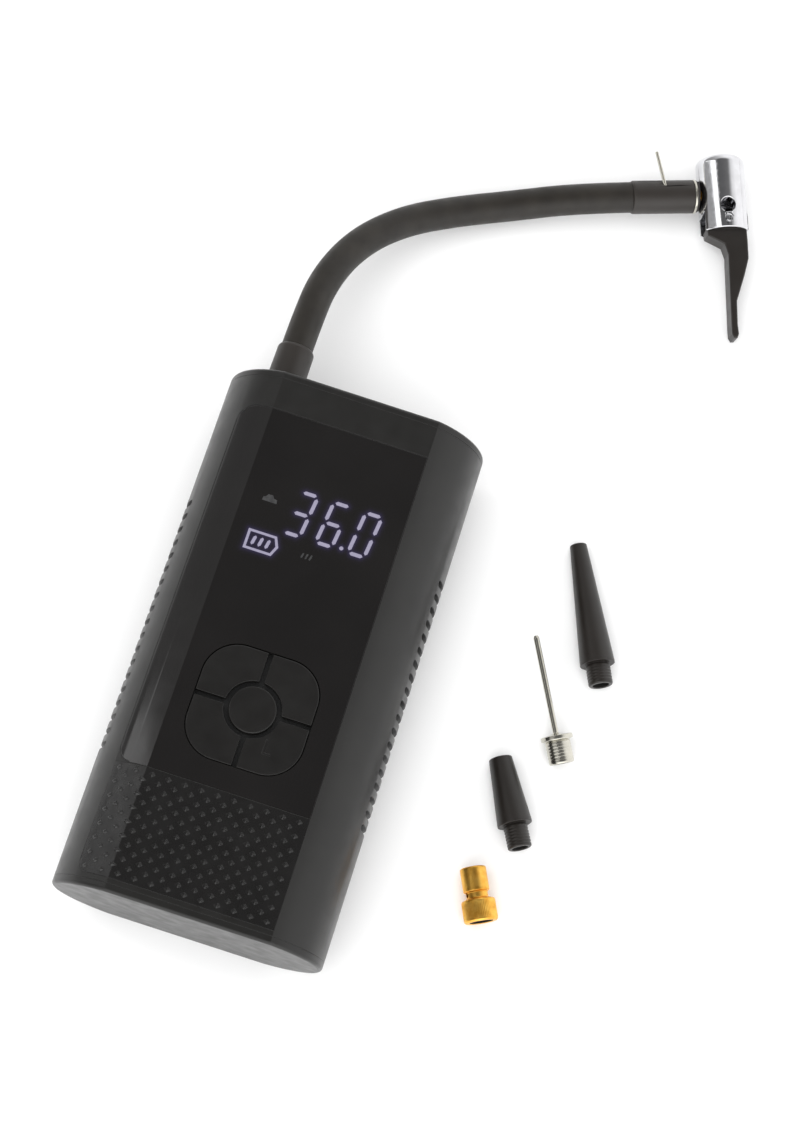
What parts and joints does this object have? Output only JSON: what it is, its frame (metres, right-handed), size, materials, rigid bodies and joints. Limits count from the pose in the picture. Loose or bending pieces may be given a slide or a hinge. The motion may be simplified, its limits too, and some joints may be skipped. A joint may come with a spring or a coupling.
{
  "type": "portable tire inflator",
  "caption": "Handheld tire inflator lying on its back, with a lit gauge, a round keypad, a short air hose to a clip-on lever chuck, and loose valve nozzles beside it.",
  "frame": {"origin": "middle of the housing's flat back, on the floor it lies on", "axes": "+X across the housing towards the vented flank beside the nozzles, +Y along the housing towards the hose, +Z out of the display face"},
  "size_m": [0.1531, 0.3064, 0.0465],
  "materials": {
    "shell": "satin moulded dark grey",
    "panel": "polished black",
    "grip": "semi-gloss black",
    "window": "smoked, polished",
    "lights": "glowing lavender white",
    "dim_lights": "faintly printed grey",
    "keys": "satin black",
    "board": "green solder mask",
    "black_part": "moulded black",
    "cell_wrap": "shrink sleeve",
    "nickel": "nickel plate",
    "steel": "machined",
    "zinc": "zinc plated",
    "copper": "enamelled winding",
    "gear_plastic": "natural acetal",
    "alloy": "cast",
    "rubber": "smooth rubber",
    "sleeve": "moulded black",
    "chrome": "bright plate",
    "brass": "turned and knurled",
    "seal": "moulded",
    "nozzle": "fine moulded grain"
  },
  "bodies": {
    "housing": {"air_hose": "rubber", "air_tube": "rubber", "back_screws": "zinc", "back_shell": "shell", "battery_cell_1": "cell_wrap", "battery_cell_2": "cell_wrap", "battery_strips": "nickel", "battery_tray": "black_part", "bottom_cap": "shell", "charge_board": "board", "chuck_barrel": "chrome", "chuck_nipple": "brass", "chuck_seal": "seal", "clip_pin": "nickel", "crank_axle": "steel", "crimp_sleeve": "sleeve", "cylinder": "alloy", "cylinder_head": "alloy", "display_battery_icon": "lights", "display_digits": "lights", "display_dim_icons": "dim_lights", "display_module": "black_part", "display_window": "window", "front_panel": "panel", "front_shell": "shell", "grip_pad": "grip", "hose_barb": "brass", "hose_collar": "sleeve", "keypad_carrier": "black_part", "lever_pin": "chrome", "main_board": "board", "motor_can": "zinc", "motor_end_cap": "black_part", "motor_magnets": "black_part", "pressure_sensor": "black_part", "pump_frame": "zinc", "sleeve_ring": "nickel", "tact_switches": "black_part", "top_cap": "shell", "usb_port": "zinc", "valve_depressor": "brass"},
    "upper_left_button": {"upper_left_button": "keys"},
    "upper_right_button": {"upper_right_button": "keys"},
    "lower_left_button": {"lower_left_button": "keys"},
    "lower_right_button": {"lower_right_button": "keys"},
    "centre_button": {"centre_button": "keys"},
    "motor_shaft": {"motor_shaft": "steel", "motor_rotor": "copper", "pinion": "brass"},
    "crank": {"crank_gear": "gear_plastic", "crank_pin": "steel"},
    "piston": {"piston": "alloy", "piston_ring": "seal", "wrist_pin": "steel"},
    "connecting_rod": {"connecting_rod": "gear_plastic"},
    "chuck_lever": {"chuck_lever": "nozzle"},
    "long_cone_nozzle": {"long_cone_nozzle": "nozzle"},
    "short_cone_nozzle": {"short_cone_nozzle": "nozzle"},
    "ball_needle": {"ball_needle": "nickel"},
    "presta_adapter": {"presta_adapter": "brass"}
  },
  "joints": [
    {"name": "upper_left_button_press", "type": "slide", "parent": "housing", "child": "upper_left_button", "axis": [0, 0, -1], "range_m": [0, 0.0006], "stiffness_N_per_m": 1800},
    {"name": "upper_right_button_press", "type": "slide", "parent": "housing", "child": "upper_right_button", "axis": [0, 0, -1], "range_m": [0, 0.0006], "stiffness_N_per_m": 1800},
    {"name": "lower_left_button_press", "type": "slide", "parent": "housing", "child": "lower_left_button", "axis": [0, 0, -1], "range_m": [0, 0.0006], "stiffness_N_per_m": 1800},
    {"name": "lower_right_button_press", "type": "slide", "parent": "housing", "child": "lower_right_button", "axis": [0, 0, -1], "range_m": [0, 0.0006], "stiffness_N_per_m": 1800},
    {"name": "centre_button_press", "type": "slide", "parent": "housing", "child": "centre_button", "axis": [0, 0, -1], "range_m": [0, 0.0006], "stiffness_N_per_m": 1800},
    {"name": "crank_spin", "type": "hinge", "parent": "housing", "child": "crank", "pos_m": [-0.001, 0.038, 0.0185], "axis": [0, 1, 0], "continuous": true},
    {"name": "motor_spin", "type": "hinge", "parent": "housing", "child": "motor_shaft", "pos_m": [-0.016, 0.02, 0.0185], "axis": [0, 1, 0], "continuous": true},
    {"name": "piston_stroke", "type": "slide", "parent": "housing", "child": "piston", "axis": [-1, 0, 0], "range_m": [0, 0.012]},
    {"name": "rod_swing", "type": "hinge", "parent": "piston", "child": "connecting_rod", "pos_m": [0.029, 0.0455, 0.0185], "axis": [0, 1, 0], "range_deg": [-14, 14]},
    {"name": "lever_turn", "type": "hinge", "parent": "housing", "child": "chuck_lever", "pos_m": [0.09572, 0.19822, 0.00888], "axis": [-0.0457, 0.1223, -0.9914], "range_deg": [0, 75]},
    {"name": "long_cone_nozzle_lift", "type": "slide", "parent": "housing", "child": "long_cone_nozzle", "axis": [0, 0, 1], "range_m": [0, 0.04]},
    {"name": "short_cone_nozzle_lift", "type": "slide", "parent": "housing", "child": "short_cone_nozzle", "axis": [0, 0, 1], "range_m": [0, 0.04]},
    {"name": "ball_needle_lift", "type": "slide", "parent": "housing", "child": "ball_needle", "axis": [0, 0, 1], "range_m": [0, 0.04]},
    {"name": "presta_adapter_lift", "type": "slide", "parent": "housing", "child": "presta_adapter", "axis": [0, 0, 1], "range_m": [0, 0.04]}
  ],
  "couplings": [
    {"joint": "crank_spin", "follows": "motor_spin", "ratio": -0.28205}
  ]
}
